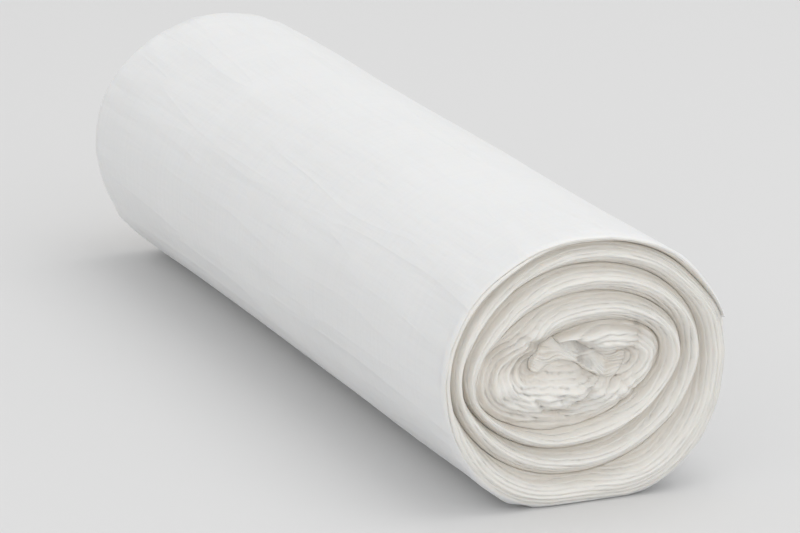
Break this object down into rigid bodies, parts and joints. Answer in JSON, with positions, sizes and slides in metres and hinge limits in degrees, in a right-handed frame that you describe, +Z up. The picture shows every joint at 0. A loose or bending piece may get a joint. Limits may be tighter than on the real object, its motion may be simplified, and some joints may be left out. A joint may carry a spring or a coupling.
{
  "type": "bin bag roll",
  "caption": "Coreless roll of white bin bags lying on its side, the folded film wound in a soft oval spiral round a collapsed middle.",
  "frame": {"origin": "middle of the small flat spot that the roll rests on", "axes": "+Z up, +Y along the roll's axis from the front end to the back end, +X to the right as seen from the front end"},
  "size_m": [0.0554, 0.19, 0.05],
  "materials": {
    "white_film": "satin, slightly see-through white polyethylene film"
  },
  "bodies": {
    "root": {"wound_web": "white_film"}
  },
  "joints": []
}
